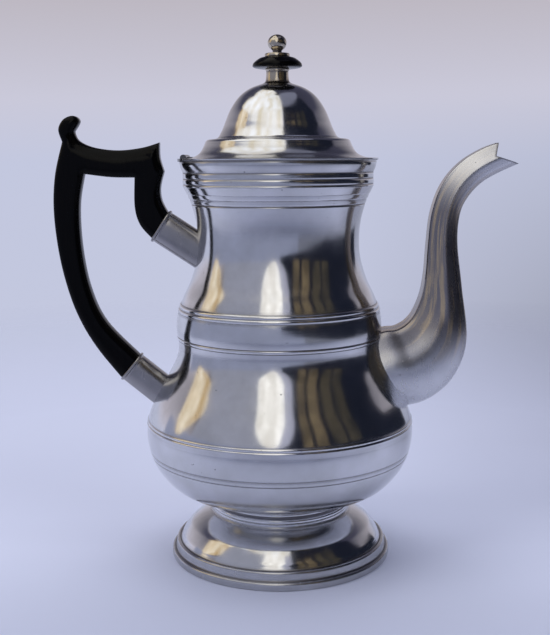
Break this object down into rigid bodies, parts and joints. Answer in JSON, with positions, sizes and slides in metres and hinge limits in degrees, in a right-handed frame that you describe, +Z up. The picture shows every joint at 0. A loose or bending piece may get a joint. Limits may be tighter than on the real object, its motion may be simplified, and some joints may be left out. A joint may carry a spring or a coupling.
{
  "type": "coffee pot",
  "caption": "Tall baluster coffee pot on a domed foot, with a hinged domed lid, a swan-neck spout and a black scroll handle in two sockets.",
  "frame": {"origin": "centre of the foot's base, on the pot's axis, at the surface that it stands on", "axes": "right-handed: +Z up along the pot's axis, +X towards the spout, -X towards the handle, +Y to the left of someone looking from the handle towards the spout"},
  "size_m": [0.2332, 0.1372, 0.265],
  "materials": {
    "spun_pewter": "spun and polished pewter with fine turning lines",
    "cast_pewter": "cast pewter, hand polished, slightly satin",
    "turned_pewter": "turned pewter with a warm tarnish",
    "black_wood": "ebonised hardwood, polished",
    "brass": "dull drawn brass"
  },
  "bodies": {
    "pot": {"foot": "spun_pewter", "foot_ring": "spun_pewter", "lower_bowl": "spun_pewter", "upper_belly": "spun_pewter", "waist_band": "spun_pewter", "neck": "spun_pewter", "rim_collar": "spun_pewter", "spout": "cast_pewter", "upper_socket": "cast_pewter", "lower_socket": "cast_pewter", "handle": "black_wood", "upper_handle_pin": "cast_pewter", "lower_handle_pin": "cast_pewter", "hinge_leaf": "cast_pewter", "hinge_pin": "cast_pewter"},
    "lid": {"lid_flange": "spun_pewter", "lid_dome": "spun_pewter", "lid_bezel": "spun_pewter", "lid_knuckle": "cast_pewter", "knob_stem": "turned_pewter", "knob_disc": "black_wood", "knob_washer": "turned_pewter", "knob_ball": "turned_pewter", "knob_nut": "brass"}
  },
  "joints": [
    {"name": "lid_hinge", "type": "hinge", "parent": "pot", "child": "lid", "pos_m": [-0.0465, 0, 0.2052], "axis": [0, -1, 0], "range_deg": [0, 98]}
  ]
}
